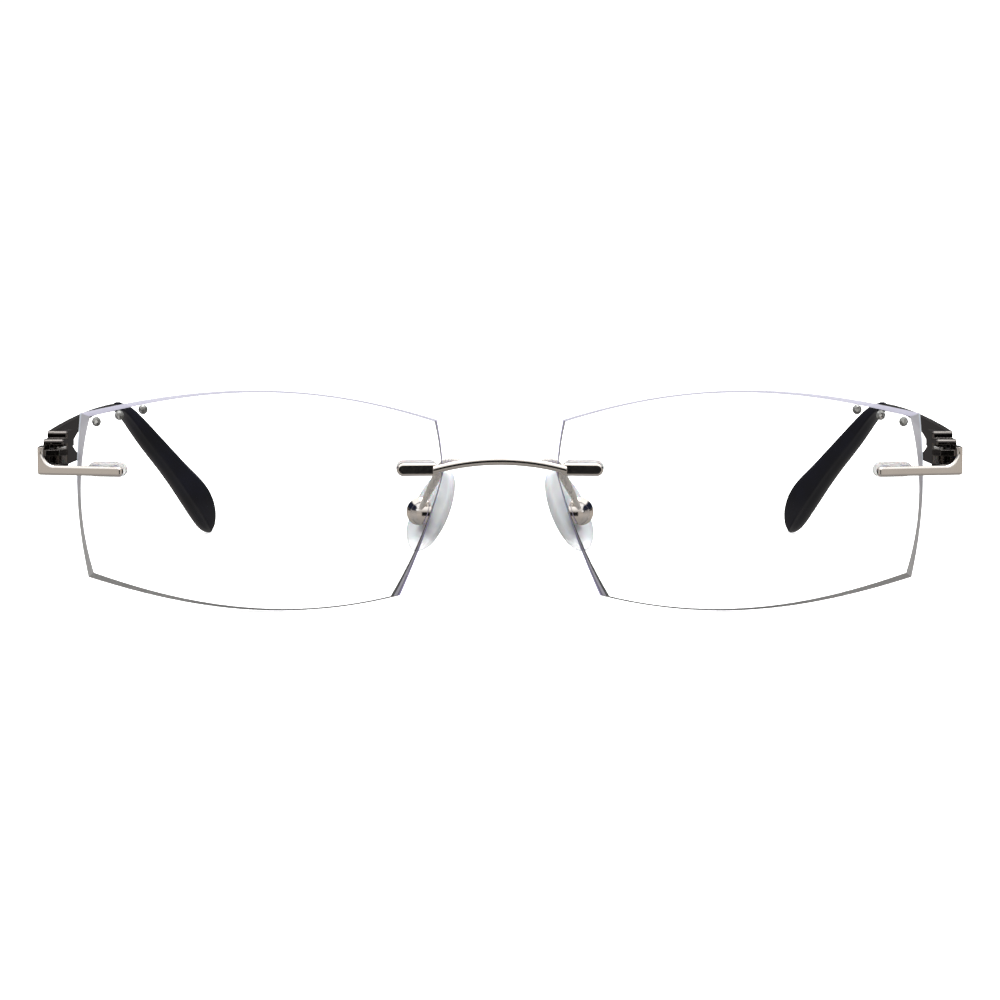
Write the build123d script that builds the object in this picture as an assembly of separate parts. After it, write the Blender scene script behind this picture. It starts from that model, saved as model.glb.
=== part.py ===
"""Rimless spectacles: two clear lenses hung between a bridge and two stepped metal temples.

Millimetres. +X is the viewer's right, +Y runs back along the temples, +Z is up from the table.
The wearer's right-hand pieces (-X) are modelled, and the left-hand ones are their mirror images.
Every shape is drawn with Y = 0 at the front of the lenses, then moved by PLACING so that the
origin is under the middle of the whole.
"""

from build123d import *
from math import sqrt
import os

# Overall
# Move from the drawing frame, with Y = 0 at the lens fronts, to the placed one
PLACING = (0, -69.86, 0.2)

# Lens: a spherical meniscus, turned to wrap and tilt round the face
LENS_RADIUS = 132.0
LENS_THICKNESS = 2.0
LENS_WRAP = 5.0
LENS_TILT = 4.0
LENS_CENTRE = (-37.1, 0.7, 17.45)
# Outline of the lens back as (x, z, inset x, inset z): corner, middle, corner, middle...
# The inset is how far the polished edge facet carries the front face inside it.
LENS_OUTLINE = (
    (-28.65, 12.29, 2.12, -0.22),
    (-0.82, 16.41, 0.00, -0.10),
    (27.02, 11.92, -0.12, -0.05),
    (27.72, 7.75, -0.05, 0.00),
    (28.03, 3.53, -0.05, 0.00),
    (25.09, -6.11, -0.40, 0.00),
    (21.31, -15.44, -1.21, 0.28),
    (-3.37, -17.73, 0.00, 0.78),
    (-27.77, -13.49, 1.40, 1.15),
    (-29.23, -0.64, 1.08, 0.00),
)
CRYSTALS = ((-25.45, 11.35), (-21.75, 12.45), (-17.94, 13.45))
CRYSTAL_DIAMETER = 1.55
CRYSTAL_TABLE = 0.80
CRYSTAL_CROWN = 0.42
CRYSTAL_SEAT = 0.60

# Mounts: each metal piece has two posts that pass through the lens into a clear plug
BRIDGE_MOUNT_AT = (-12.55, 0.48, 22.09)
BRIDGE_MOUNT_TURN = 5.9
TEMPLE_MOUNT_AT = (-61.52, 4.83, 21.50)
TEMPLE_MOUNT_TURN = -15.5
MOUNT_TILT = 2.0
POST_PITCH = 3.1
POST_DIAMETER = 0.9
POST_REACH = 3.0
SLEEVE_DIAMETER = 1.5
HOLE_DIAMETER = 1.54
FLANGE_LENGTH = 6.3
FLANGE_HEIGHT = 2.3
FLANGE_THICKNESS = 0.75
FLANGE_FROM_PLANE = 2.24
FIT = 0.02

# Bridge
PADDLE_LENGTH = 6.6
PADDLE_HEIGHT = 1.95
PADDLE_THICKNESS = 1.0
ARCH_THICKNESS = 1.24
ARCH_END = (-10.2, 21.98)
ARCH_MIDDLE_HEIGHT = 23.38
ARCH_DEPTH = 1.1
ARCH_ROUNDING = 0.5

# Pad arm, cup and pad
ARM_PATH = (
    (-4.2, 0.3, 23.05),
    (-6.6, 2.4, 23.05),
    (-8.7, 4.3, 22.5),
    (-9.65, 5.1, 20.9),
    (-11.4, 6.4, 17.4),
    (-12.3, 7.1, 15.5),
)
# Share of the arm's length, and its diameter there
ARM_STATIONS = ((0, 1.0), (0.5, 1.4), (0.75, 1.15), (1, 0.65))
CUP_CENTRE = (-12.45, 8.0, 15.0)
CUP_FACING = (-0.40, -0.90, 0.17)
CUP_DIAMETER = 4.35
CUP_RIM = 0.30
CUP_DOME_RADIUS = 3.4
PIVOT = (-12.15, 9.20, 14.80)
PAD_NORMAL = (0.714, 0.616, -0.331)
PAD_PIVOT_AXIS = (-0.558, 0.788, 0.259)
PAD_HEIGHT = 13.3
PAD_WIDTH = 8.0
PAD_THICKNESS = 1.7
PAD_CENTRE_OUT = 1.75
PAD_LIFT = 0.7
PAD_EDGE_RADIUS = 0.7
CHEEK_RADIUS = 0.85
CHEEK_THICKNESS = 0.45
CHEEK_GAP = 1.0
LUG_THICKNESS = 0.9
PAD_SCREW_DIAMETER = 0.7
PAD_SCREW_REACH = 1.45

# Endpiece and hinge
SIDE_X = -71.7
PLATE_THICKNESS = 0.9
BAR_HEIGHT = 1.5
BAR_THICKNESS = 0.95
BAR_PAST_MOUNT = 3.65
BAR_ROUNDING = 0.4
ENDPIECE_LOW = 20.75
ENDPIECE_TOP = 25.05
ENDPIECE_BACK = 11.6
HINGE_X = -68.9
HINGE_Y = 13.3
KNUCKLE_DIAMETER = 2.4
KNUCKLE_LEVELS = (21.1, 22.2, 23.4, 24.4)
KNUCKLE_GAP = 0.05
HINGE_SCREW_DIAMETER = 1.0
HINGE_BORE = 1.06
BUSH_DIAMETER = 1.6
SCREW_HEAD_DIAMETER = 1.9
SCREW_HEAD_HEIGHT = 0.4

# Temple
TEMPLE_SIDE_X = -71.35
TEMPLE_FRONT = ENDPIECE_BACK + 0.05
TEMPLE_THICKNESS = 1.0
TEMPLE_LEAN = 2.3
STEP_AT = 15.5
STEP_1_TOP = 25.95
STEP_2_TOP = 27.0
STEP_ROUNDING = 0.45
CAP_BOTTOM = 25.15
CAP_WIDTH = 3.2
BLOCK_BACK = 21.5
BLOCK_BOTTOM = 24.4
TEMPLE_LOW = 20.85
FORK_AT = (33.0, 23.95)
PRONG_END = 43.5
SHAFT_END = 89.0
CORE_DIAMETER = 0.9
# Stations down the earpiece: centre x, y, z, then section height and thickness
TIP_STATIONS = (
    (-68.55, 88.0, 27.00, 1.8, 2.0),
    (-68.35, 94.0, 26.05, 2.5, 2.2),
    (-67.20, 100.0, 23.80, 3.6, 2.4),
    (-64.60, 110.0, 18.65, 4.7, 2.6),
    (-61.55, 121.0, 12.80, 5.7, 2.8),
    (-58.75, 131.5, 7.10, 7.4, 2.9),
    (-57.60, 135.6, 4.33, 7.2, 2.7),
    (-56.85, 138.4, 1.78, 5.1, 1.9),
    (-56.60, 139.3, 0.58, 2.8, 1.1),
)


def lens_place():
    """Location of the lens's own frame: x towards the nose, y back, z up, origin on its front."""
    return Pos(*LENS_CENTRE) * Rot(X=LENS_TILT) * Rot(Z=-LENS_WRAP)


def front_depth(x, z):
    """How far the lens front falls back at (x, z) of its own frame."""
    return LENS_RADIUS - sqrt(LENS_RADIUS**2 - x**2 - z**2)


def back_depth(x, z):
    """Depth of the lens back at (x, z) of its own frame."""
    return LENS_RADIUS - sqrt((LENS_RADIUS - LENS_THICKNESS) ** 2 - x**2 - z**2)


def outline_points(depth):
    """The ten outline points where the lens's flared side meets a plane at this depth."""
    points = []
    for x, z, inset_x, inset_z in LENS_OUTLINE:
        back = back_depth(x, z)
        share = (back - depth) / (back - front_depth(x + inset_x, z + inset_z))
        points.append((x + inset_x * share, depth, z + inset_z * share))
    return points


def outline_wire(depth):
    """Five arcs through the outline points at this depth."""
    p = outline_points(depth)
    arcs = [Edge.make_three_point_arc(p[i], p[i + 1], p[(i + 2) % 10]) for i in range(0, 10, 2)]
    return Wire(arcs)


def mount_plane(at, turn):
    """Plane of a paddle's back: local x towards the nose, y up, z forwards off the lens."""
    facing = Vector(0, -1, 0).rotate(Axis.X, MOUNT_TILT).rotate(Axis.Z, turn)
    along = Vector(1, 0, 0).rotate(Axis.Z, turn)
    return Plane(origin=at, x_dir=along, z_dir=facing)


BRIDGE_MOUNT = mount_plane(BRIDGE_MOUNT_AT, BRIDGE_MOUNT_TURN)
TEMPLE_MOUNT = mount_plane(TEMPLE_MOUNT_AT, TEMPLE_MOUNT_TURN)
PAD_FRAME = Plane(origin=PIVOT, x_dir=PAD_NORMAL, z_dir=PAD_PIVOT_AXIS)


def pins(mount, diameter, start, end):
    """A pair of cylinders at a mount's two post positions, from start to end along its z."""
    pair = Sketch() + [Pos(side * POST_PITCH / 2, 0) * Circle(diameter / 2) for side in (-1, 1)]
    return extrude(mount.offset(start) * pair, end - start)


def crystal(x, z, grow=0.0):
    """One stone: a cut crown standing on the lens over a short pavilion sunk into it."""
    at = Vector(x, front_depth(x, z), z)
    facing = at - Vector(0, LENS_RADIUS, 0)
    seat = Plane(origin=at, x_dir=(1, 0, 0), z_dir=facing)
    girdle = RegularPolygon(CRYSTAL_DIAMETER / 2 + grow, 10)
    top = seat.offset(CRYSTAL_CROWN) * RegularPolygon(CRYSTAL_TABLE / 2, 10)
    culet = seat.offset(-CRYSTAL_SEAT - grow) * RegularPolygon(0.12, 10)
    pavilion = loft([seat.offset(0.06) * girdle, culet], ruled=True)
    if grow:
        return pavilion
    return pavilion + loft([seat.offset(0.06) * girdle, top], ruled=True)


def make_lens():
    """Meniscus cut to the outline, with four mounting holes and three crystal seats."""
    blank = Solid.make_loft([outline_wire(-1.0), outline_wire(8.0)], ruled=True)
    outer = Pos(0, LENS_RADIUS, 0) * Sphere(LENS_RADIUS)
    inner = Pos(0, LENS_RADIUS, 0) * Sphere(LENS_RADIUS - LENS_THICKNESS)
    lens = (outer - inner) & blank
    for x, z in CRYSTALS:
        lens -= crystal(x, z, grow=0.02)
    lens = lens_place() * lens
    for mount in (BRIDGE_MOUNT, TEMPLE_MOUNT):
        lens -= pins(mount, HOLE_DIAMETER, -5.0, 1.0)
    return lens


def make_crystals():
    """The three stones of one lens, as separate solids of one group."""
    return Compound(children=[lens_place() * crystal(x, z) for x, z in CRYSTALS])


def make_plug(mount):
    """Clear double plug: two sleeves through the lens, joined by a flange on its back."""
    flange_plane = mount.offset(-FLANGE_FROM_PLANE - FLANGE_THICKNESS)
    flange = extrude(flange_plane * SlotOverall(FLANGE_LENGTH, FLANGE_HEIGHT), FLANGE_THICKNESS)
    sleeves = pins(mount, SLEEVE_DIAMETER, -FLANGE_FROM_PLANE, -0.10)
    bores = pins(mount, POST_DIAMETER + 2 * FIT, -FLANGE_FROM_PLANE - FLANGE_THICKNESS, 0.0)
    return flange + sleeves - bores


def posts(mount):
    """The two posts of a metal piece, ending just short of the flange's back."""
    return pins(mount, POST_DIAMETER, -POST_REACH, 0.10)


def make_bridge():
    """Arched front bar with a rounded paddle and two posts at each end."""
    paddle = extrude(BRIDGE_MOUNT * SlotOverall(PADDLE_LENGTH, PADDLE_HEIGHT), PADDLE_THICKNESS)
    paddle = fillet(paddle.faces().sort_by(Axis.Y)[0].edges(), 0.35)
    side = paddle + posts(BRIDGE_MOUNT)
    return arch() + side + mirror(side, about=Plane.YZ)


def arch():
    """Curved bar of constant height between the two paddles."""
    end_x, end_z = ARCH_END
    half = ARCH_THICKNESS / 2
    top = ARCH_MIDDLE_HEIGHT + half
    low = ARCH_MIDDLE_HEIGHT - half
    face = make_face(
        [
            ThreePointArc((end_x, end_z + half), (0, top), (-end_x, end_z + half)),
            Line((-end_x, end_z + half), (-end_x, end_z - half)),
            ThreePointArc((-end_x, end_z - half), (0, low), (end_x, end_z - half)),
            Line((end_x, end_z - half), (end_x, end_z + half)),
        ]
    )
    bar = extrude(Plane.XZ.offset(0.5) * face, -ARCH_DEPTH)
    return fillet(bar.edges().filter_by(GeomType.CIRCLE), ARCH_ROUNDING)


def make_pad_arm():
    """Tapered wire from the back of the bridge, round the lens edge and down to the cup."""
    path = Spline(*[Vector(*p) for p in ARM_PATH])
    sections = []
    for share, diameter in ARM_STATIONS:
        sections.append(Plane(origin=path @ share, z_dir=path % share) * Circle(diameter / 2))
    return sweep(sections, path=path, multisection=True)


def make_pad_cup():
    """Domed round cup that faces forwards, with two cheeks behind it for the pad's lug."""
    face_plane = Plane(origin=CUP_CENTRE, z_dir=CUP_FACING)
    rim = extrude(face_plane * Circle(CUP_DIAMETER / 2), CUP_RIM)
    cap_height = CUP_DOME_RADIUS - sqrt(CUP_DOME_RADIUS**2 - (CUP_DIAMETER / 2) ** 2)
    ball = face_plane.offset(CUP_RIM + cap_height - CUP_DOME_RADIUS) * Sphere(CUP_DOME_RADIUS)
    dome = ball & extrude(face_plane.offset(CUP_RIM) * Circle(CUP_DIAMETER / 2), 2 * CUP_RIM + 1)
    cheek = Circle(CHEEK_RADIUS) + Pos(-1.4, 0) * Rectangle(2.8, 2 * CHEEK_RADIUS)
    offset = CHEEK_GAP / 2
    cheeks = extrude(PAD_FRAME.offset(offset) * cheek, CHEEK_THICKNESS)
    cheeks += extrude(PAD_FRAME.offset(-offset - CHEEK_THICKNESS) * cheek, CHEEK_THICKNESS)
    bore = pad_screw_hole(PAD_SCREW_DIAMETER + 2 * FIT)
    in_front = extrude(face_plane * Circle(8), 8)
    return rim + dome + (cheeks - in_front) - bore


def pad_screw_hole(diameter):
    """Cylinder on the pad's pivot axis, long enough to cut through both cheeks and the dome."""
    return extrude(PAD_FRAME.offset(-5) * Circle(diameter / 2), 6.5)


def make_pad_screw():
    """Tiny screw through the cheeks and the lug, slotted at its front end."""
    end = CHEEK_GAP / 2 + CHEEK_THICKNESS + 0.1
    front = PAD_FRAME.offset(-PAD_SCREW_REACH)
    shank = extrude(front * Circle(PAD_SCREW_DIAMETER / 2), PAD_SCREW_REACH + end)
    slot = extrude(front * Rectangle(0.15, 1.0), 0.2)
    return shank - slot


def make_pad_insert():
    """Metal plate moulded into the pad, with the lug that the screw holds."""
    lug = Circle(0.72) + Pos(0.8, 0) * Rectangle(1.6, 1.44)
    lug -= Circle(PAD_SCREW_DIAMETER / 2 + 0.03)
    body = extrude(PAD_FRAME.offset(-LUG_THICKNESS / 2) * lug, LUG_THICKNESS)
    plate = PAD_FRAME * Pos(1.75, 0, 0) * Box(0.35, 6.0, 2.4)
    return body + plate


def make_nose_pad(insert):
    """Soft clear pad of rounded outline, moulded over the insert."""
    across = PAD_WIDTH / 2
    up = PAD_HEIGHT / 2
    outline = make_face(
        Spline(
            (0, up),
            (0.72 * across, 0.66 * up),
            (across, 0),
            (0.78 * across, -0.68 * up),
            (0, -up),
            (-0.72 * across, -0.68 * up),
            (-0.94 * across, 0),
            (-0.62 * across, 0.68 * up),
            periodic=True,
        )
    )
    sheet = Plane(origin=PIVOT, x_dir=PAD_PIVOT_AXIS, z_dir=PAD_NORMAL)
    back = sheet.offset(PAD_CENTRE_OUT - PAD_THICKNESS / 2)
    pad = extrude(back * Pos(0, PAD_LIFT) * outline, PAD_THICKNESS)
    pad = fillet(pad.edges(), PAD_EDGE_RADIUS)
    return pad - insert


def make_endpiece():
    """Bar in front of the lens that turns back into the side plate and two hinge knuckles."""
    direction = TEMPLE_MOUNT.x_dir
    back_start = Vector(*TEMPLE_MOUNT_AT) + direction * BAR_PAST_MOUNT
    back_corner_x = SIDE_X + PLATE_THICKNESS
    rise = (back_corner_x - back_start.X) / direction.X
    back_corner = back_start + direction * rise
    front_start = back_start + TEMPLE_MOUNT.z_dir * BAR_THICKNESS
    rise = (SIDE_X - front_start.X) / direction.X
    front_corner = front_start + direction * rise
    plan = make_face(
        Polyline(
            (back_start.X, back_start.Y),
            (back_corner.X, back_corner.Y),
            (back_corner_x, ENDPIECE_BACK),
            (SIDE_X, ENDPIECE_BACK),
            (front_corner.X, front_corner.Y),
            (front_start.X, front_start.Y),
            close=True,
        )
    )
    plan = fillet(plan.vertices().sort_by_distance((front_corner.X, front_corner.Y, 0))[0], 0.9)
    slab = extrude(Pos(0, 0, ENDPIECE_LOW) * plan, ENDPIECE_TOP - ENDPIECE_LOW)
    low = ENDPIECE_LOW
    high = low + BAR_HEIGHT
    end_x = back_start.X
    front_view = make_face(
        [
            Line((end_x - 0.75, low), (SIDE_X - 1, low)),
            Line((SIDE_X - 1, low), (SIDE_X - 1, ENDPIECE_TOP)),
            Line((SIDE_X - 1, ENDPIECE_TOP), (-70.6, ENDPIECE_TOP)),
            ThreePointArc((-70.6, ENDPIECE_TOP), (-70.15, high + 0.55), (-68.8, high)),
            Line((-68.8, high), (end_x - 0.75, high)),
            ThreePointArc((end_x - 0.75, high), (end_x, low + BAR_HEIGHT / 2), (end_x - 0.75, low)),
        ]
    )
    body = slab & extrude(Plane.XZ.offset(-20) * front_view, 25)
    front = body.faces().sort_by_distance(Vector(*TEMPLE_MOUNT_AT) + TEMPLE_MOUNT.z_dir * BAR_THICKNESS)[0]
    body = fillet(front.edges().filter_by(lambda edge: edge.center().X > SIDE_X + 0.95), BAR_ROUNDING)
    return body + posts(TEMPLE_MOUNT) + endpiece_knuckles()


def knuckle(low, high, bore):
    """One hinge barrel about the hinge axis."""
    barrel = Circle(KNUCKLE_DIAMETER / 2) - Circle(bore / 2)
    return extrude(Pos(HINGE_X, HINGE_Y, low) * barrel, high - low)


def endpiece_knuckles():
    """Upper and lower barrels, each webbed to the side plate."""
    bottom, lower, upper, top = KNUCKLE_LEVELS
    wall = SIDE_X + PLATE_THICKNESS
    web = make_face(
        Polyline(
            (wall - 0.1, 9.9),
            (wall - 0.1, ENDPIECE_BACK - 0.15),
            (wall + 0.6, ENDPIECE_BACK - 0.15),
            (HINGE_X - 1.15, HINGE_Y - 0.35),
            (HINGE_X + 1.12, HINGE_Y - 0.4),
            (HINGE_X + 0.2, 10.4),
            close=True,
        )
    )
    web -= Pos(HINGE_X, HINGE_Y) * Circle(HINGE_BORE / 2)
    pieces = knuckle(bottom, lower - KNUCKLE_GAP, HINGE_BORE)
    pieces += extrude(Pos(0, 0, bottom) * web, lower - KNUCKLE_GAP - bottom)
    pieces += knuckle(upper + KNUCKLE_GAP, top, HINGE_BORE)
    pieces += extrude(Pos(0, 0, upper + KNUCKLE_GAP) * web, top - upper - KNUCKLE_GAP)
    return pieces


def make_hinge_screw():
    """Slotted screw down the hinge axis, headed above the upper barrel."""
    bottom, top = KNUCKLE_LEVELS[0], KNUCKLE_LEVELS[3]
    at = Pos(HINGE_X, HINGE_Y, 0)
    screw = extrude(at * Pos(0, 0, bottom - 0.1) * Circle(HINGE_SCREW_DIAMETER / 2), top + 0.15 - bottom)
    head = extrude(at * Pos(0, 0, top + 0.01) * Circle(SCREW_HEAD_DIAMETER / 2), SCREW_HEAD_HEIGHT)
    head = fillet(head.faces().sort_by(Axis.Z)[-1].edges(), 0.15)
    slot = at * Pos(0, 0, top + SCREW_HEAD_HEIGHT) * Box(0.3, 3, 0.4)
    return screw + head - slot


def make_hinge_bush():
    """Nylon sleeve pressed into the temple's barrel, which turns on the screw."""
    ring = Circle(BUSH_DIAMETER / 2) - Circle(HINGE_BORE / 2)
    lower, upper = KNUCKLE_LEVELS[1], KNUCKLE_LEVELS[2]
    return extrude(Pos(HINGE_X, HINGE_Y, lower) * ring, upper - lower)


def temple_side_view():
    """Side view of the temple: two steps up, a fork, then a slim shaft."""
    front, back = TEMPLE_FRONT, SHAFT_END
    fork_y, fork_z = FORK_AT
    profile = make_face(
        [
            Line((front, TEMPLE_LOW), (front, STEP_1_TOP)),
            Line((front, STEP_1_TOP), (STEP_AT, STEP_1_TOP)),
            Line((STEP_AT, STEP_1_TOP), (STEP_AT, STEP_2_TOP)),
            ThreePointArc((STEP_AT, STEP_2_TOP), (60, 28.05), (back, 27.65)),
            Line((back, 27.65), (back, 26.5)),
            Line((back, 26.5), (62, 27.1)),
            ThreePointArc((62, 27.1), (46, 26.4), (fork_y, fork_z)),
            ThreePointArc((fork_y, fork_z), (37.5, 22.4), (PRONG_END, 21.4)),
            Line((PRONG_END, 21.4), (PRONG_END, TEMPLE_LOW)),
            Line((PRONG_END, TEMPLE_LOW), (front, TEMPLE_LOW)),
        ]
    )
    corners = [
        profile.vertices().sort_by_distance((front, STEP_1_TOP, 0))[0],
        profile.vertices().sort_by_distance((STEP_AT, STEP_2_TOP, 0))[0],
    ]
    return fillet(corners, STEP_ROUNDING)


def temple_plan(width, start, end):
    """Plan of a stretch of the straight temple, closing in slightly towards the ear."""
    slope = TEMPLE_LEAN / (SHAFT_END - TEMPLE_FRONT)
    start_x = TEMPLE_SIDE_X + slope * (start - TEMPLE_FRONT)
    end_x = TEMPLE_SIDE_X + slope * (end - TEMPLE_FRONT)
    return make_face(
        Polyline((start_x, start), (end_x, end), (end_x + width, end), (start_x + width, start), close=True)
    )


def step_block(start, end, low, high):
    """Block of one step, with its upper front edge and its inner front corner rounded."""
    block = extrude(Pos(0, 0, low) * temple_plan(CAP_WIDTH, start, end), high - low)
    corner = block.edges().filter_by(Axis.Z).sort_by_distance((TEMPLE_SIDE_X + CAP_WIDTH, start, high))[0]
    block = fillet(corner, STEP_ROUNDING)
    front = block.faces().sort_by(Axis.Z)[-1].edges().sort_by(Axis.Y)[0]
    return fillet(front, STEP_ROUNDING)


def step_blocks():
    """Thick upper parts of the two steps; the first overhangs the hinge."""
    low_cap = step_block(TEMPLE_FRONT, STEP_AT + 0.5, CAP_BOTTOM, STEP_1_TOP)
    high_block = step_block(STEP_AT, BLOCK_BACK, BLOCK_BOTTOM, STEP_2_TOP)
    return low_cap + high_block


def core_path():
    """Line of the core wire down the earpiece."""
    return Spline(*[Vector(x, y, z) for x, y, z, height, thickness in TIP_STATIONS[:6]])


def make_temple():
    """Stepped and forked metal temple with its hinge barrel and core wire."""
    side = extrude(Plane.YZ.offset(-75) * temple_side_view(), 20)
    plate = side & extrude(temple_plan(TEMPLE_THICKNESS, TEMPLE_FRONT, SHAFT_END), 40)
    lower, upper = KNUCKLE_LEVELS[1], KNUCKLE_LEVELS[2]
    wall = TEMPLE_SIDE_X + TEMPLE_THICKNESS
    web = make_face(
        Polyline(
            (wall - 0.2, HINGE_Y + 0.1),
            (HINGE_X - 1.15, HINGE_Y + 0.1),
            (HINGE_X + 1.12, HINGE_Y + 0.4),
            (wall - 0.1, HINGE_Y + 3.6),
            close=True,
        )
    )
    web -= Pos(HINGE_X, HINGE_Y) * Circle(BUSH_DIAMETER / 2)
    barrel = knuckle(lower, upper, BUSH_DIAMETER)
    barrel += extrude(Pos(0, 0, lower) * web, upper - lower)
    path = core_path()
    core = sweep(Plane(origin=path @ 0, z_dir=path % 0) * Circle(CORE_DIAMETER / 2), path=path)
    return plate + step_blocks() + barrel + core


def make_tip():
    """Earpiece lofted through its stations: slim at the bend, broad and rounded at the end."""
    path = Spline(*[Vector(x, y, z) for x, y, z, height, thickness in TIP_STATIONS])
    sections = []
    for x, y, z, height, thickness in TIP_STATIONS:
        at = Vector(x, y, z)
        heading = path % path.param_at_point(at)
        sideways = Vector(0, 0, 1).cross(heading).normalized()
        plane = Plane(origin=at, x_dir=sideways, z_dir=heading)
        corner = 0.46 * min(thickness, height)
        sections.append(plane * RectangleRounded(thickness, height, corner))
    return loft(sections)


def export(name, shape, mirrored=True):
    """Write a piece at its place, and its mirror image when it has one on the other side."""
    placed = Pos(*PLACING) * shape
    if not mirrored:
        export_step(placed, f"parts/{name}.step")
        return
    export_step(placed, f"parts/right_{name}.step")
    export_step(mirror(placed, about=Plane.YZ), f"parts/left_{name}.step")


def main():
    os.makedirs("parts", exist_ok=True)
    arm = make_pad_arm()
    cup = make_pad_cup() - arm
    bridge = make_bridge()
    insert = make_pad_insert()
    temple = make_temple()
    export("lens", make_lens())
    export("crystals", make_crystals())
    export("bridge", bridge, mirrored=False)
    export("bridge_plug", make_plug(BRIDGE_MOUNT))
    export("temple_plug", make_plug(TEMPLE_MOUNT))
    export("pad_arm", arm - bridge)
    export("pad_cup", cup)
    export("pad_screw", make_pad_screw())
    export("pad_insert", insert)
    export("nose_pad", make_nose_pad(insert))
    export("endpiece", make_endpiece())
    export("hinge_screw", make_hinge_screw())
    export("hinge_bush", make_hinge_bush())
    export("temple", temple)
    export("temple_tip", make_tip() - temple)


main()
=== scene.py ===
"""Rimless eyeglasses: finishes, moulded nose pads, floor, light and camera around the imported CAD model."""

import math

import bpy
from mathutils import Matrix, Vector


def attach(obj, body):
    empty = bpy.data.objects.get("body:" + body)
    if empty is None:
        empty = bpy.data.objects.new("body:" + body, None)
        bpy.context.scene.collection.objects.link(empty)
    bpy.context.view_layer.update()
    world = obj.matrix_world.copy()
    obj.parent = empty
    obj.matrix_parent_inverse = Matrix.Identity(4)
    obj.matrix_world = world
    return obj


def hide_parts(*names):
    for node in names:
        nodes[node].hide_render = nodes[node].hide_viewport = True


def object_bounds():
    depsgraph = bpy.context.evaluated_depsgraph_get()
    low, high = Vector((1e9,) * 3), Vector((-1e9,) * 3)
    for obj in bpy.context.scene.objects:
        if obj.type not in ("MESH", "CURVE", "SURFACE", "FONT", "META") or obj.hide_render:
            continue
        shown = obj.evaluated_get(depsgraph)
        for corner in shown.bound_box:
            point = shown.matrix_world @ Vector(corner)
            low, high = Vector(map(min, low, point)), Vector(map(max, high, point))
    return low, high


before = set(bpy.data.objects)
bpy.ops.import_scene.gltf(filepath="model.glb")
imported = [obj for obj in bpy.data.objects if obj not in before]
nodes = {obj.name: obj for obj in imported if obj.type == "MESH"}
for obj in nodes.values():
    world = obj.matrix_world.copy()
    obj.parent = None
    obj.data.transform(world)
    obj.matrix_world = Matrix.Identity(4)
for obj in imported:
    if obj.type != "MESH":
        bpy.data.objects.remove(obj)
cad_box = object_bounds()

MM = 0.001
SIDES = (("right_", 1.0), ("left_", -1.0))

# Right lens, in metres: its axis, the sphere of its front face and its thickness; the left lens mirrors it
LENS_AXIS = (0.087, 0.994, 0.070)
LENS_CURVE_CENTRE = (-0.02560, 0.06202, 0.02682)
LENS_RADIUS = 0.132
LENS_THICKNESS = 0.002
# Smooth steps into each zone of a lens, by a part of the normal
EDGE_BY_AXIS = (0.955, 0.925)
SIDEWAYS_BY_X = (0.35, 0.60)
LEVEL_BY_Z = (0.45, 0.70)
# The same by distance from the middle of the glasses or by height, in metres
OUTER_BY_DISTANCE = (0.036, 0.038)
CORNER_BY_DISTANCE = (0.040, 0.054)
BOTTOM_BY_HEIGHT = (0.018, 0.016)
LOWER_OUTER_BY_HEIGHT = (0.021, 0.014)
# Painted reflections, highlights and shade of the clear edge facets, by which way each facet faces: share of
# the way from the front face to the back, and colour
TOP_FACET = (
    (0.0, (0.22, 0.22, 0.26)),
    (0.12, (0.345, 0.335, 0.42)),
    (0.88, (0.40, 0.39, 0.475)),
    (1.0, (0.32, 0.32, 0.35)),
)
UPPER_OUTER_FACET = (
    (0.0, (0.565, 0.565, 0.615)),
    (0.80, (0.615, 0.615, 0.67)),
    (0.88, (0.79, 0.88, 0.98)),
    (1.0, (0.85, 0.89, 0.98)),
)
LOWER_OUTER_FACET = (
    (0.0, (0.48, 0.48, 0.48)),
    (0.2, (0.65, 0.65, 0.65)),
    (0.9, (0.58, 0.58, 0.58)),
    (1.0, (0.46, 0.46, 0.46)),
)
INNER_FACET = (
    (0.0, (0.002, 0.002, 0.005)),
    (0.30, (0.004, 0.004, 0.010)),
    (0.38, (0.55, 0.53, 0.66)),
    (0.60, (0.56, 0.54, 0.66)),
    (0.74, (0.15, 0.14, 0.27)),
    (0.86, (0.50, 0.46, 0.80)),
    (1.0, (0.62, 0.57, 0.95)),
)
CORNER_FACET = (
    (0.0, (0.36, 0.36, 0.36)),
    (0.5, (0.43, 0.43, 0.43)),
    (0.9, (0.39, 0.375, 0.385)),
    (1.0, (0.58, 0.54, 0.555)),
)
# Painted glints and shade of a crystal's inner facets, from one random cell to the next
CRYSTAL_PAINTED_GLINTS = (
    (0.30, (0.10, 0.10, 0.10)),
    (0.42, (0.45, 0.46, 0.44)),
    (0.52, (0.95, 0.96, 0.95)),
    (0.66, (0.35, 0.36, 0.34)),
)

# Smooth steps into the zone of the hinge barrels, where shade is painted, in metres: outboard of the lens
# and inside the wall of the side plate, both as distances from the middle, and behind the endpiece's bar, as
# a y
HINGE_OUTBOARD = (0.062, 0.064)
HINGE_INSIDE_WALL = (0.07085, 0.07075)
HINGE_BEHIND_BAR = (-0.0611, -0.0609)
# Smooth steps of height into the earpieces' greyer ends and the nose pads' clearer ones, in metres
GREYER_BELOW = (0.0085, 0.004)
CLEARER_BELOW = (0.0118, 0.0092)
# Opacity of the clearer ends from the middle to the rim, and the power that narrows that rim
CLEARER_OPACITY = (0.26, 0.85)
CLEARER_RIM = 1.6


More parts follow.
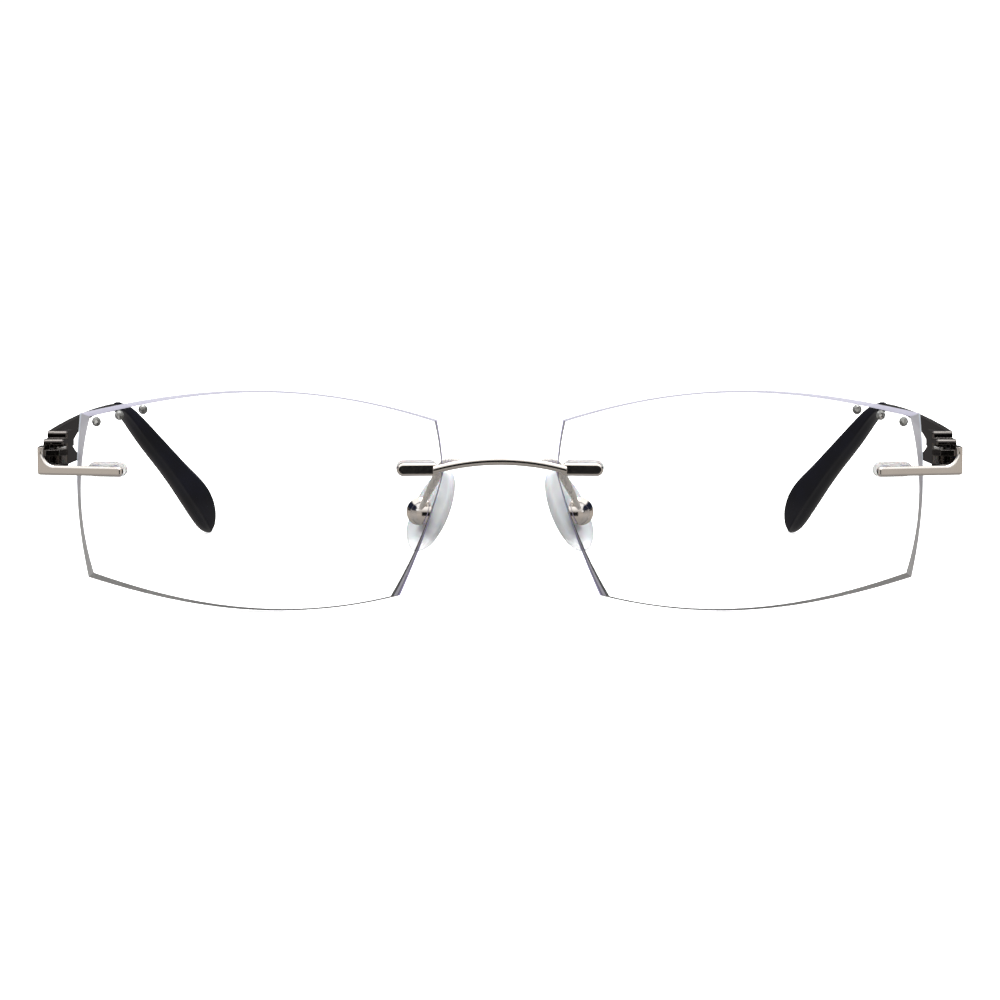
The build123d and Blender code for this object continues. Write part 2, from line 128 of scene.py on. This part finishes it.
# ---------------------------------------------------------------- node helpers
class Nodes:
    """A short way to write node trees: each method adds its nodes and gives their output."""

    def __init__(self, tree):
        self.tree = tree
        tree.nodes.clear()

    def add(self, kind, inputs=(), output=0, **settings):
        node = self.tree.nodes.new(kind)
        for name, value in settings.items():
            setattr(node, name, value)
        for key, value in dict(inputs).items():
            self.put(node.inputs[key], value)
        return node.outputs[output]

    def put(self, socket, value):
        if isinstance(value, bpy.types.NodeSocket):
            self.tree.links.new(value, socket)
        elif value is not None:
            socket.default_value = value

    def math(self, operation, a, b=None):
        values = {0: a} if b is None else {0: a, 1: b}
        return self.add("ShaderNodeMath", values, operation=operation)

    def absolute(self, value):
        return self.math("ABSOLUTE", value)

    def times(self, *values):
        result = values[0]
        for value in values[1:]:
            result = self.math("MULTIPLY", result, value)
        return result

    def smooth(self, value, low, high):
        """0 below low and 1 above high, or the other way round if high is the smaller."""
        inputs = {"Value": value, "From Min": low, "From Max": high}
        return self.add("ShaderNodeMapRange", inputs, interpolation_type="SMOOTHSTEP")

    def window(self, value, low, high, soft):
        """1 between low and high, falling to 0 over soft on each side."""
        return self.times(self.smooth(value, low - soft, low), self.smooth(value, high + soft, high))

    def spread(self, value, low, high, start=0.0, end=1.0):
        """What lies from start to end, spread from low to high."""
        inputs = {"Value": value, "From Min": start, "From Max": end, "To Min": low, "To Max": high}
        return self.add("ShaderNodeMapRange", inputs)

    def split(self, vector):
        self.add("ShaderNodeSeparateXYZ", {0: vector})
        return self.tree.nodes[-1].outputs

    def geometry(self, output):
        """The point's Position or True Normal, split into X, Y and Z."""
        return self.split(self.add("ShaderNodeNewGeometry", output=output))

    def mix(self, factor, a, b, blend="MIX"):
        """Mix of two colours, which the node takes at its inputs 6 and 7."""
        inputs = {0: factor, 6: a, 7: b}
        return self.add("ShaderNodeMix", inputs, output=2, data_type="RGBA", blend_type=blend)

    def layer(self, factor, under, over):
        return self.add("ShaderNodeMixShader", {0: factor, 1: under, 2: over})

    def ramp(self, value, stops):
        colour = self.add("ShaderNodeValToRGB", {"Fac": value})
        elements = self.tree.nodes[-1].color_ramp.elements
        elements.remove(elements[1])
        elements[0].position = stops[0][0]
        elements[0].color = (*stops[0][1], 1)
        for position, rgb in stops[1:]:
            elements.new(position).color = (*rgb, 1)
        return colour

    def noise(self, scale, detail=3.0, stretch=(1, 1, 1)):
        place = self.add("ShaderNodeTexCoord", output="Object")
        place = self.add("ShaderNodeMapping", {"Vector": place, "Scale": stretch})
        return self.add("ShaderNodeTexNoise", {"Vector": place, "Scale": scale, "Detail": detail})

    def bump(self, height, strength, distance, normal=None):
        inputs = {"Height": height, "Strength": strength, "Distance": distance, "Normal": normal}
        return self.add("ShaderNodeBump", inputs)

    def principled(self, inputs):
        return self.add("ShaderNodeBsdfPrincipled", inputs)

    def clear(self):
        return self.add("ShaderNodeBsdfTransparent", {"Color": grey(1.0)})

    def surface(self, shader, kind="ShaderNodeOutputMaterial"):
        out = self.tree.nodes.new(kind)
        self.tree.links.new(shader, out.inputs["Surface"])


def material(name):
    made = bpy.data.materials.new(name)
    made.use_nodes = True
    return made, Nodes(made.node_tree)


def grey(value):
    return (value, value, value, 1)


# ------------------------------------------------------------------- materials
def hinge_shade_zone(n):
    """Mask of painted shade: 1 on the hinge barrels and their webs, 0 on the rest of an endpiece."""
    place = n.geometry("Position")
    off_middle = n.absolute(place["X"])
    return n.times(
        n.smooth(off_middle, *HINGE_INSIDE_WALL),
        n.smooth(place["Y"], *HINGE_BEHIND_BAR),
        n.smooth(off_middle, *HINGE_OUTBOARD),
    )


def metal(name, pale, deep, polish, grain=(1, 1, 1), metallic=1.0, hinge_shade_tone=None):
    """Polished plated metal: slow tone changes, hairline scratches and uneven gloss, and, where a hinge tone
    is given, that darker tone painted as shade on the hinge barrels.
    """
    made, n = material(name)
    tone = n.mix(n.noise(220, 2), (*deep, 1), (*pale, 1))
    # Painted shade: the hinge barrels behind the endpiece's bar take a darker tone
    if hinge_shade_tone:
        tone = n.mix(hinge_shade_zone(n), tone, (*hinge_shade_tone, 1))
    hair = n.noise(2600, 4, grain)
    soft_edges = n.add("ShaderNodeBevel", {"Radius": 0.00012}, samples=4)
    plating = {
        "Base Color": tone,
        "Metallic": metallic,
        "Roughness": n.spread(hair, *polish),
        "Normal": n.bump(hair, 0.035, 0.00002, soft_edges),
    }
    n.surface(n.principled(plating))
    return made


def lens_depth(n, place):
    """How deep in the lens a point lies, from 0 on its front face to 1 on its back."""
    right_x = n.times(n.absolute(place["X"]), -1.0)
    at = n.add("ShaderNodeCombineXYZ", {"X": right_x, "Y": place["Y"], "Z": place["Z"]})
    between = {0: at, 1: LENS_CURVE_CENTRE}
    radius = n.add("ShaderNodeVectorMath", between, output="Value", operation="DISTANCE")
    return n.spread(radius, 0.0, 1.0, LENS_RADIUS, LENS_RADIUS - LENS_THICKNESS)


def facet_painted_light(n, place, normal, outward, streak):
    """Painted reflection and shade on the edge facet that the point is on: top, outer, inner or bottom."""
    depth = lens_depth(n, place)
    off_middle = n.absolute(place["X"])
    sideways = n.smooth(n.absolute(outward), *SIDEWAYS_BY_X)
    outer = n.times(sideways, n.smooth(off_middle, *OUTER_BY_DISTANCE))
    inner = n.times(sideways, n.smooth(off_middle, *reversed(OUTER_BY_DISTANCE)))
    level = n.smooth(n.absolute(normal["Z"]), *LEVEL_BY_Z)
    bottom = n.times(level, n.smooth(place["Z"], *BOTTOM_BY_HEIGHT))
    lower = n.smooth(place["Z"], *LOWER_OUTER_BY_HEIGHT)
    corner = n.smooth(off_middle, *CORNER_BY_DISTANCE)
    # Painted reflections: the outer facets take one set of tones above and a greyer one below
    outer_painted_light = n.mix(lower, n.ramp(depth, UPPER_OUTER_FACET), n.ramp(depth, LOWER_OUTER_FACET))
    # Painted shade: the bottom facets are near black away from the outer corner
    bottom_painted_light = n.mix(corner, grey(0.15), n.ramp(depth, CORNER_FACET))
    colour = n.mix(outer, n.ramp(depth, TOP_FACET), outer_painted_light)
    colour = n.mix(inner, colour, n.ramp(depth, INNER_FACET))
    colour = n.mix(bottom, colour, bottom_painted_light)
    return n.mix(n.spread(streak, 0.0, 0.3), colour, grey(0.75), "MULTIPLY")


def lens_material():
    """Coated clear lens: near-invisible faces, and polished edge facets painted with reflections and shade
    in greys and lavender.
    """
    made, n = material("coated_lens")
    place = n.geometry("Position")
    normal = n.geometry("True Normal")
    outward = n.times(normal["X"], n.math("SIGN", place["X"]))
    along_x = n.times(outward, -LENS_AXIS[0])
    along_y = n.times(normal["Y"], LENS_AXIS[1])
    along_z = n.times(normal["Z"], LENS_AXIS[2])
    along_axis = n.absolute(n.math("ADD", n.math("ADD", along_x, along_y), along_z))

    streak = n.noise(900, 3, (1, 0.2, 1))
    # The edge facets take painted reflections and shade as their colour
    polished = {
        "Base Color": facet_painted_light(n, place, normal, outward, streak),
        "Roughness": n.spread(streak, 0.22, 0.42),
        "IOR": 1.5,
        "Specular IOR Level": 0.15,
    }
    edge = n.layer(0.97, n.clear(), n.principled(polished))

    # The face's gloss shows only at a slant, so that nothing is lost from what shows straight through
    gloss = n.add("ShaderNodeBsdfGlossy", {"Color": (0.80, 0.88, 1.0, 1), "Roughness": 0.02})
    fresnel = n.add("ShaderNodeFresnel", {"IOR": 1.25})
    sheen = n.times(n.smooth(fresnel, 0.02, 0.40), 0.25)
    face = n.layer(sheen, n.clear(), gloss)
    n.surface(n.layer(n.smooth(along_axis, *EDGE_BY_AXIS), face, edge))
    return made


def crystal_material():
    """Foil-backed stones: small inner facets under the table in painted glints and shade, and a ring of
    crown faces darkened as painted shade.
    """
    made, n = material("cut_crystal")
    place = n.add("ShaderNodeTexCoord", output="Object")
    cells = n.add("ShaderNodeTexVoronoi", {"Vector": place, "Scale": 2900}, output="Color")
    # Painted glints and shade: the cells of the inner facets run from dark to near white
    inner = n.ramp(cells, CRYSTAL_PAINTED_GLINTS)
    # Painted shade: the slanted crown faces take a darker colour
    crown = n.smooth(n.absolute(n.geometry("True Normal")["Y"]), 0.93, 0.85)
    stone = {
        "Base Color": n.mix(n.times(crown, 0.75), inner, (0.13, 0.13, 0.12, 1)),
        "Metallic": 0.25,
        "Roughness": n.spread(n.noise(1500, 2), 0.05, 0.16),
        "Coat Weight": 1.0,
        "Coat Roughness": 0.03,
    }
    n.surface(n.principled(stone))
    return made


def clear_plastic(name, pale, deep, rough, solid, ior, clearer=None):
    """Translucent moulded plastic with a cloudy tint, more solid at its rim.

    clearer is the smooth step of height into an end that is clearer, if it has one.
    """
    made, n = material(name)
    cloud = n.noise(420, 3)
    body = {
        "Base Color": n.mix(cloud, (*deep, 1), (*pale, 1)),
        "Roughness": n.spread(cloud, *rough),
        "IOR": ior,
        "Subsurface Weight": 0.35,
        "Subsurface Scale": 0.001,
        "Normal": n.bump(n.noise(1800, 2), 0.05, 0.00003),
    }
    rim = n.add("ShaderNodeLayerWeight", {"Blend": 0.45}, output="Facing")
    opacity = n.spread(rim, *solid)
    if clearer:
        thin = n.spread(n.math("POWER", rim, CLEARER_RIM), *CLEARER_OPACITY)
        low = n.smooth(n.geometry("Position")["Z"], *clearer)
        # The node takes plain values at its inputs 2 and 3
        opacity = n.add("ShaderNodeMix", {0: low, 2: opacity, 3: thin})
    n.surface(n.layer(opacity, n.clear(), n.principled(body)))
    return made


def acetate():
    """Glossy navy-black acetate with a faint marbled depth, a little greyer towards the low ends."""
    made, n = material("navy_acetate")
    swirl = n.noise(90, 5, (1, 0.35, 1))
    colour = n.mix(n.smooth(swirl, 0.35, 0.7), (0.004, 0.005, 0.010, 1), (0.008, 0.010, 0.026, 1))
    greyer_low = n.times(n.smooth(n.geometry("Position")["Z"], *GREYER_BELOW), 0.6)
    body = {
        "Base Color": n.mix(greyer_low, colour, (0.020, 0.021, 0.028, 1)),
        "Roughness": n.spread(n.noise(160, 2), 0.20, 0.27),
        "Specular IOR Level": 0.22,
    }
    n.surface(n.principled(body))
    return made


def nylon():
    """Matte off-white nylon with a fine moulded grain."""
    made, n = material("white_nylon")
    grain = n.noise(3000, 3)
    body = {
        "Base Color": n.mix(grain, (0.62, 0.61, 0.58, 1), (0.74, 0.73, 0.70, 1)),
        "Roughness": n.spread(grain, 0.45, 0.65),
        "Normal": n.bump(grain, 0.1, 0.00003),
    }
    n.surface(n.principled(body))
    return made


# Pale and deep tone, and range of roughness
CHAMPAGNE = ((0.86, 0.81, 0.76), (0.80, 0.745, 0.69), (0.07, 0.16))
# Darker copy of the plating: painted shade and dark reflections for the temples
SHADED_PLATE = ((0.150, 0.138, 0.130), (0.100, 0.092, 0.086), (0.06, 0.16))
BRUSHED = ((0.92, 0.88, 0.82), (0.78, 0.74, 0.68), (0.20, 0.36))
TURNED_STEEL = ((0.72, 0.71, 0.70), (0.58, 0.575, 0.57), (0.16, 0.34))
STAMPED_STEEL = ((0.66, 0.65, 0.64), (0.54, 0.535, 0.53), (0.22, 0.40))
# The same for the clear plastics, with the range of opacity from the middle to the rim, and the IOR
PLUG_NYLON = ((0.72, 0.74, 0.70), (0.62, 0.63, 0.61), (0.10, 0.24), (0.50, 0.90), 1.5)
SILICONE = ((0.90, 0.94, 0.98), (0.78, 0.83, 0.88), (0.28, 0.45), (0.70, 0.95), 1.41)

# Finish for each of the record's material names
FINISHES = {
    "champagne_metal": metal("champagne_plate", *CHAMPAGNE),
    # The record's gunmetal pieces take the darker copy of the plating, as painted shade
    "gunmetal": metal("plate_in_painted_shade", *SHADED_PLATE, grain=(1, 0.15, 1)),
    "steel_screw": metal("turned_steel", *TURNED_STEEL, grain=(1, 1, 0.1)),
    "steel_insert": metal("stamped_steel", *STAMPED_STEEL),
    "lens_clear": lens_material(),
    "crystal": crystal_material(),
    "clear_plug": clear_plastic("clear_plug_nylon", *PLUG_NYLON),
    "clear_silicone": clear_plastic("frosted_silicone", *SILICONE, clearer=CLEARER_BELOW),
    "dark_acetate": acetate(),
    "nylon": nylon(),
}
# Nodes, named without their side, whose finish differs from that of the rest of their material
NODE_FINISHES = {
    "pad_arm": metal("brushed_champagne", *BRUSHED, grain=(1, 1, 0.15), metallic=0.35),
    # The endpiece's hinge barrels take painted shade
    "endpiece": metal("plate_with_painted_hinge_shade", *CHAMPAGNE, hinge_shade_tone=(0.125, 0.115, 0.108)),
}


def finish_cad_nodes():
    """Puts each finish in the material slot that carries the record's name for it."""
    for name, node in nodes.items():
        plain_name = name.removeprefix("right_").removeprefix("left_")
        for slot in node.material_slots:
            finish = FINISHES[slot.material.name.split(".")[0]]
            slot.material = NODE_FINISHES.get(plain_name, finish)


# ------------------------------------------------------------------- nose pads
# Right pad, in mm: the pivot of its rock, the way it faces the nose, and the way across it
PIVOT = Vector((-12.15, -60.66, 15.0))
PAD_NORMAL = Vector((0.714, 0.616, -0.331)).normalized()
PAD_ACROSS = Vector((-0.558, 0.788, 0.259)).normalized()
PAD_UP = PAD_NORMAL.cross(PAD_ACROSS)
# From the pivot to the pad's back, and how far the pad's middle lies above the pivot
PAD_BACK = 0.90
PAD_LIFT = 0.7
HALF_WIDTH = 4.15
HALF_HEIGHT = 6.87
# Points of the outline, across and up, as shares of the half width and half height
PAD_OUTLINE = (
    (0, 1),
    (0.72, 0.66),
    (1, 0),
    (0.78, -0.68),
    (0, -1),
    (-0.72, -0.68),
    (-0.94, 0),
    (-0.62, 0.68),
)
OUTLINE_STEPS = 6
# Inset from the outline and height above the back, both in mm, from the back's middle to the front's
PAD_SECTION = (
    (2.9, 0.16),
    (1.7, 0.10),
    (0.75, 0.02),
    (0.30, 0.10),
    (0.06, 0.38),
    (0.0, 0.80),
    (0.05, 1.12),
    (0.28, 1.42),
    (0.80, 1.60),
    (1.8, 1.67),
    (2.9, 1.68),
)


def closed_curve(points, steps):
    """Closed Catmull-Rom curve through the points, with steps parts between each two of them."""
    count = len(points)
    line = []
    for i in range(count):
        a, b, c, d = (Vector(points[(i + k) % count]) for k in (-1, 0, 1, 2))
        for step in range(steps):
            t = step / steps
            squared = (2 * a - 5 * b + 4 * c - d) * t**2
            cubed = (3 * b - a - 3 * c + d) * t**3
            line.append(0.5 * (2 * b + (c - a) * t + squared + cubed))
    return line


def nose_pad(name, side):
    """Crowned silicone pad with a rolled edge and a dished back, moulded over its insert."""
    outline = closed_curve(PAD_OUTLINE, OUTLINE_STEPS)
    count = len(outline)
    points = []
    for inset, height in PAD_SECTION:
        for p in outline:
            across = p.x * (HALF_WIDTH - inset)
            up = p.y * (HALF_HEIGHT - inset) + PAD_LIFT
            at = PIVOT + PAD_ACROSS * across + PAD_UP * up + PAD_NORMAL * (PAD_BACK + height)
            points.append((at.x * side * MM, at.y * MM, at.z * MM))
    last_ring = (len(PAD_SECTION) - 1) * count
    faces = []
    for low in range(0, last_ring, count):
        high = low + count
        for i in range(count):
            j = (i + 1) % count
            faces.append((low + i, low + j, high + j, high + i))
    faces.append(tuple(reversed(range(count))))
    faces.append(tuple(range(last_ring, last_ring + count)))
    if side < 0:
        faces = [tuple(reversed(face)) for face in faces]
    pad = mesh_object(name, points, faces, FINISHES["clear_silicone"])
    pad.data.shade_smooth()
    pad.modifiers.new("soft_form", "SUBSURF").render_levels = 2
    return pad


# ---------------------------------------------------------------------- studio
# Tones of the room from straight down at 0 to straight up at 1
ROOM = (
    (0.0, (0.34, 0.33, 0.32)),
    (0.30, (0.46, 0.44, 0.42)),
    (0.47, (0.62, 0.58, 0.54)),
    (0.50, (0.50, 0.46, 0.43)),
    (0.60, (0.62, 0.60, 0.58)),
    (0.68, (1.0, 1.0, 1.0)),
    (1.0, (1.0, 1.0, 1.0)),
)
# Dark cards that the metal reflects, by direction: the axis and smooth step that lead to the card's side of
# the room, its windows across and up as low, high and softness, and its colour. They stand round the camera,
# behind the object, and at both sides.
CARDS = (
    ("y", (0.0, -0.3), (-0.34, 0.34, 0.05), (-0.20, 0.12, 0.04), (0.006, 0.006, 0.007)),
    ("y", (0.20, 0.45), (-0.72, 0.72, 0.06), (-0.36, 0.28, 0.08), (0.085, 0.080, 0.080)),
    ("|x|", (0.70, 0.76), (-1.0, 1.0, 0.05), (0.22, 0.55, 0.05), (0.010, 0.013, 0.030)),
)
# Strength of the room's light below and above, and the heights between which it grows
ROOM_STRENGTH = (0.85, 1.25)
ROOM_BRIGHTER = (0.25, 0.55)
# Round lamp overhead: the smooth step of z at its rim, and what it adds to the room's strength
LAMP_RIM = (0.93, 0.95)
LAMP_STRENGTH = 5.5
FLOOR_GAP = 0.00002
FLOOR_HALF = 4.0
CAMERA_PLACE = (0.0, -0.56986, 0.05822)
CAMERA_DOWN_DEGREES = 4.643
CAMERA_FOCAL_MM = 118.1


def studio_world():
    """White surround that the pieces reflect as a room with a lamp overhead and dark cards round it."""
    world = bpy.data.worlds.new("studio")
    bpy.context.scene.world = world
    world.use_nodes = True
    n = Nodes(world.node_tree)
    x, y, z = n.split(n.add("ShaderNodeTexCoord", output="Generated"))[0:3]
    toward = {"y": y, "|x|": n.absolute(x)}
    room = n.ramp(n.spread(z, 0.0, 1.0, -1.0, 1.0), ROOM)
    for axis, side, across, up, colour in CARDS:
        card = n.times(n.smooth(toward[axis], *side), n.window(x, *across), n.window(z, *up))
        room = n.mix(card, room, (*colour, 1))
    lamp = n.times(n.smooth(z, *LAMP_RIM), LAMP_STRENGTH)
    strength = n.math("ADD", n.spread(z, *ROOM_STRENGTH, *ROOM_BRIGHTER), lamp)
    lit = n.add("ShaderNodeBackground", {"Color": room, "Strength": strength})
    white = n.add("ShaderNodeBackground", {"Color": grey(1.0), "Strength": 1.05})
    seen = n.add("ShaderNodeLightPath", output="Is Camera Ray")
    n.surface(n.layer(seen, lit, white), "ShaderNodeOutputWorld")


def link(made):
    bpy.context.scene.collection.objects.link(made)
    return made


def mesh_object(name, points, faces, finish):
    mesh = bpy.data.meshes.new(name)
    mesh.from_pydata(points, [], faces)
    mesh.materials.append(finish)
    return link(bpy.data.objects.new(name, mesh))


def floor_material():
    """Matte near-white table that glows a little, so that it looks as pale as its surround."""
    made, n = material("pale_table")
    table = {
        "Base Color": n.mix(n.noise(60, 3), grey(0.86), grey(0.90)),
        "Roughness": 0.9,
        "Emission Color": grey(1.0),
        "Emission Strength": 0.75,
    }
    n.surface(n.principled(table))
    return made


def make_floor():
    low = cad_box[0].z - FLOOR_GAP
    corners = [(FLOOR_HALF * x, FLOOR_HALF * y, low) for x, y in ((-1, -1), (1, -1), (1, 1), (-1, 1))]
    floor = mesh_object("floor", corners, [(0, 1, 2, 3)], floor_material())
    floor.visible_glossy = False
    floor.visible_diffuse = False


def make_light(name, place, aim, size, power):
    data = bpy.data.lights.new(name, "AREA")
    data.shape = "RECTANGLE"
    data.size, data.size_y = size
    data.energy = power
    light = link(bpy.data.objects.new(name, data))
    light.location = place
    light.rotation_euler = (Vector(aim) - Vector(place)).to_track_quat("-Z", "Y").to_euler()


def make_camera():
    data = bpy.data.cameras.new("camera")
    data.sensor_width = 36.0
    data.lens = CAMERA_FOCAL_MM
    data.clip_start = 0.01
    data.clip_end = 20.0
    camera = link(bpy.data.objects.new("camera", data))
    camera.location = CAMERA_PLACE
    camera.rotation_euler = (math.radians(90 - CAMERA_DOWN_DEGREES), 0, 0)
    bpy.context.scene.camera = camera


# ----------------------------------------------------------------------- scene
finish_cad_nodes()
for prefix, side in SIDES:
    pad = nose_pad(prefix + "silicone_pad", side)
    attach(pad, prefix + "pad")
    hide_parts(prefix + "nose_pad")

studio_world()
make_floor()
make_light("overhead", place=(0, -0.1, 0.9), aim=(0, 0, 0), size=(0.9, 0.6), power=0.8)
make_camera()
bpy.context.scene.view_settings.view_transform = "Standard"

bpy.context.view_layer.update()
